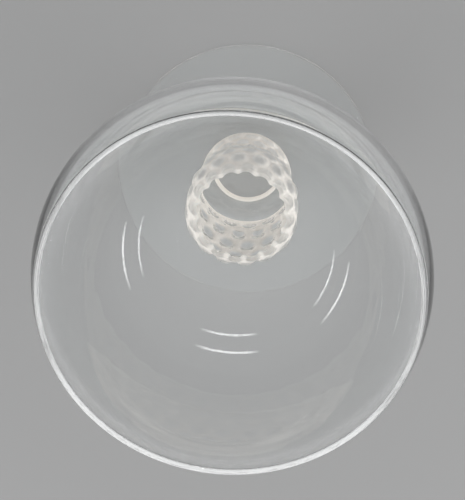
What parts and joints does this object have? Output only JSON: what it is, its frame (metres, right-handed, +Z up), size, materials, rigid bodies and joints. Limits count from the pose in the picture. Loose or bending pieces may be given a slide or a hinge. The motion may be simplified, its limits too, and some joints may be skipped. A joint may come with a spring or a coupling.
{
  "type": "cognac glass",
  "caption": "Short-stemmed cognac glass: clear tulip bowl on a stout hollow frosted stem set with staggered bosses, and a clear round foot.",
  "frame": {"origin": "centre of the foot's underside, on the glass's axis, at the level of the table", "axes": "+Z up along the glass's axis, out of the bowl's mouth; +X and +Y lie in the table's plane, and the glass is round about +Z"},
  "size_m": [0.078, 0.078, 0.099],
  "materials": {
    "clear_crystal": "clear colourless, fire-polished",
    "frosted_crystal": "satin frosted, warm white, a little clearer on the tops of the bosses"
  },
  "bodies": {
    "root": {"bowl": "clear_crystal", "stem": "frosted_crystal", "merese": "clear_crystal", "foot": "clear_crystal"}
  },
  "joints": []
}
